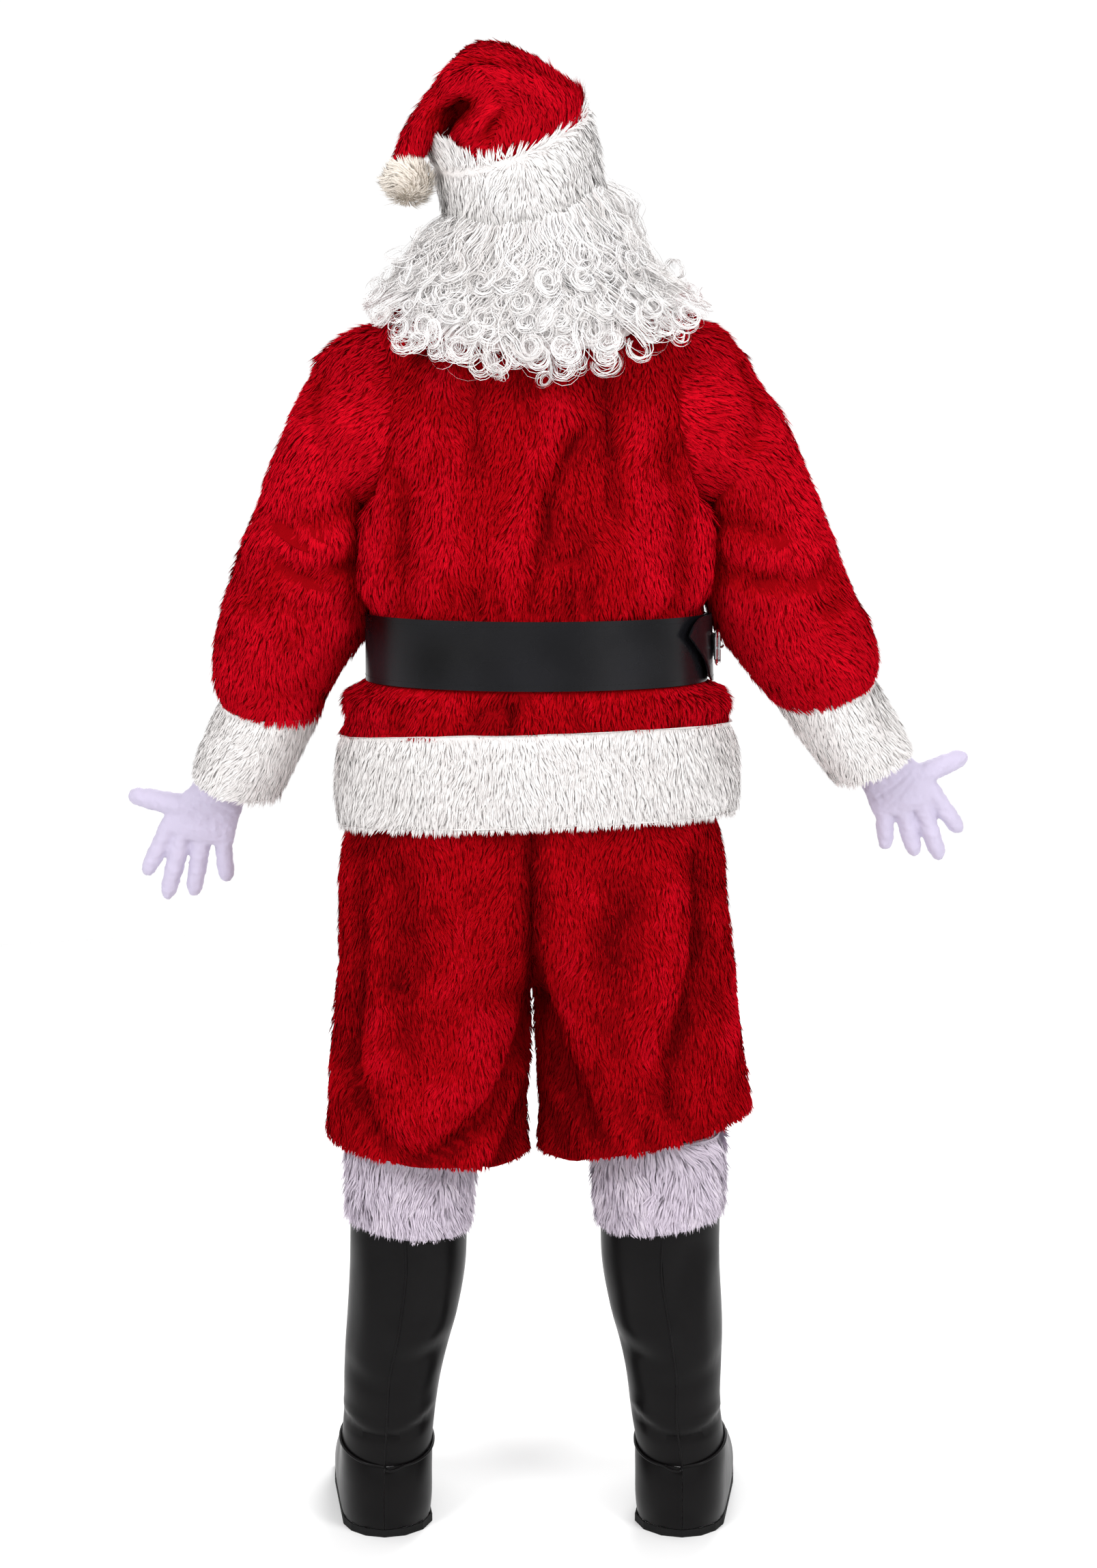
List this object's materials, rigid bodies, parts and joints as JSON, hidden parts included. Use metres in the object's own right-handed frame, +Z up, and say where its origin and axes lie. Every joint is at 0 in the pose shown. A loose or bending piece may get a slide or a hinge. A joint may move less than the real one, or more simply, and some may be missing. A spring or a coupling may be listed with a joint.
{
  "type": "santa suit",
  "caption": "Santa suit in worn form: red plush jacket and knee breeches with white fur trims, belt, hat, curly wig, gloves and black boot tops, all hollow.",
  "frame": {"origin": "on the shoulder line, midway between the shoulders, 1.500 m above the ground that the wearer stands on, where the wearer carries the suit", "axes": "+Z up, +Y the way the wearer faces, +X to the wearer's right"},
  "size_m": [1.0617, 0.4191, 1.837],
  "materials": {
    "red_plush": "deep crimson long-pile plush, soft sheen",
    "white_fur": "warm white faux fur",
    "cool_white_fur": "cool white shaggy faux fur",
    "cream_fur": "cream faux fur",
    "white_hair": "white curled synthetic hair",
    "wig_net": "matt elastic net",
    "black_vinyl": "smooth black imitation leather, satin",
    "black_elastic": "matt woven elastic",
    "chrome": "polished",
    "white_glove": "smooth stretch knit"
  },
  "bodies": {
    "root": {"jacket_back_left": "red_plush", "jacket_back_right": "red_plush", "jacket_front_left": "red_plush", "jacket_front_right": "red_plush", "sleeve_left": "red_plush", "sleeve_right": "red_plush", "breeches_back_left": "red_plush", "breeches_back_right": "red_plush", "breeches_front_left": "red_plush", "breeches_front_right": "red_plush", "hat_crown_back": "red_plush", "hat_crown_front": "red_plush", "hem_band_left": "white_fur", "hem_band_right": "white_fur", "cuff_left": "white_fur", "cuff_right": "white_fur", "hat_band": "white_fur", "boot_fur_left": "cool_white_fur", "boot_fur_right": "cool_white_fur", "hat_bobble": "cream_fur", "wig_hair_back": "white_hair", "wig_hair_left": "white_hair", "wig_hair_right": "white_hair", "wig_cap": "wig_net", "belt_strap": "black_vinyl", "belt_fastening_strap": "black_vinyl", "boot_shaft_outer_left": "black_vinyl", "boot_shaft_inner_left": "black_vinyl", "boot_shaft_outer_right": "black_vinyl", "boot_shaft_inner_right": "black_vinyl", "boot_foot_outer_left": "black_vinyl", "boot_foot_inner_left": "black_vinyl", "boot_foot_outer_right": "black_vinyl", "boot_foot_inner_right": "black_vinyl", "boot_sole_band_left": "black_elastic", "boot_sole_band_right": "black_elastic", "buckle_frame": "chrome", "buckle_prong": "chrome", "glove_left_hand": "white_glove", "glove_left_thumb": "white_glove", "glove_right_hand": "white_glove", "glove_right_thumb": "white_glove"}
  },
  "joints": []
}
